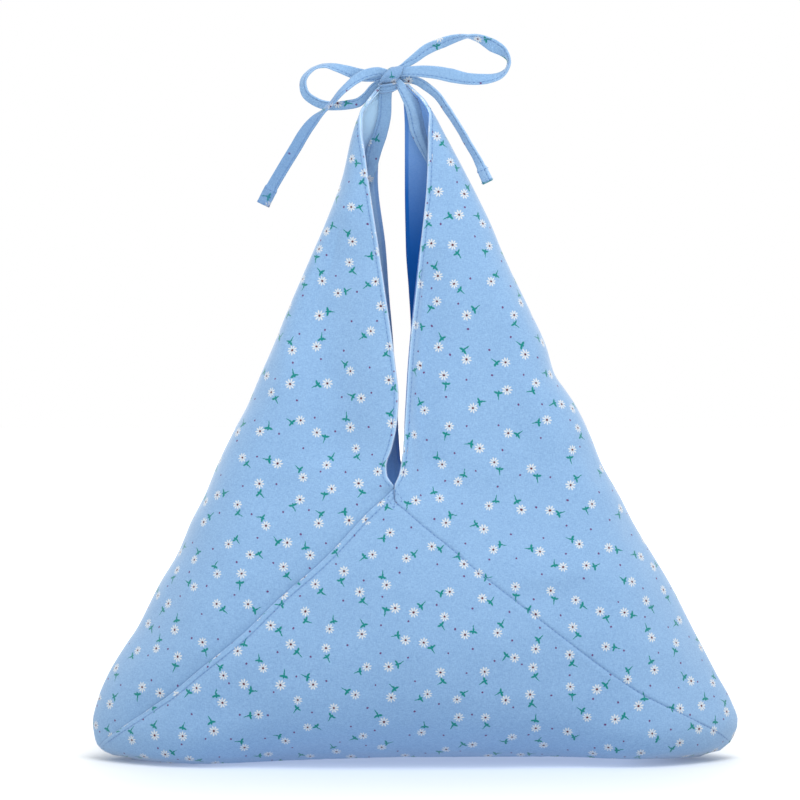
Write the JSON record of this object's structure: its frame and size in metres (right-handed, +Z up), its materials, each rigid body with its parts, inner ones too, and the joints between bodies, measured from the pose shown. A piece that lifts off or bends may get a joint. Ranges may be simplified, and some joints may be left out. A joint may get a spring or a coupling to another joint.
{
  "type": "bento bag",
  "caption": "Soft cloth lunch bag with a boat-shaped base and two triangular wings, knotted at the top in a bow.",
  "frame": {"origin": "on the ground, under the middle of the base", "axes": "+Z up towards the knot, +X to the viewer's right, -Y towards the viewer, out of the front slit"},
  "size_m": [0.3873, 0.1178, 0.4364],
  "materials": {
    "printed_cloth": "woven cotton, light blue with small white daisies, green sprigs and dark dots, matte",
    "lining_cloth": "plain light blue woven cotton, matte",
    "tie_cloth": "the same printed cotton, folded into flat strips and topstitched, matte"
  },
  "bodies": {
    "root": {"body": "printed_cloth", "lining": "lining_cloth", "tie_left": "tie_cloth", "tie_right": "tie_cloth"}
  },
  "joints": []
}
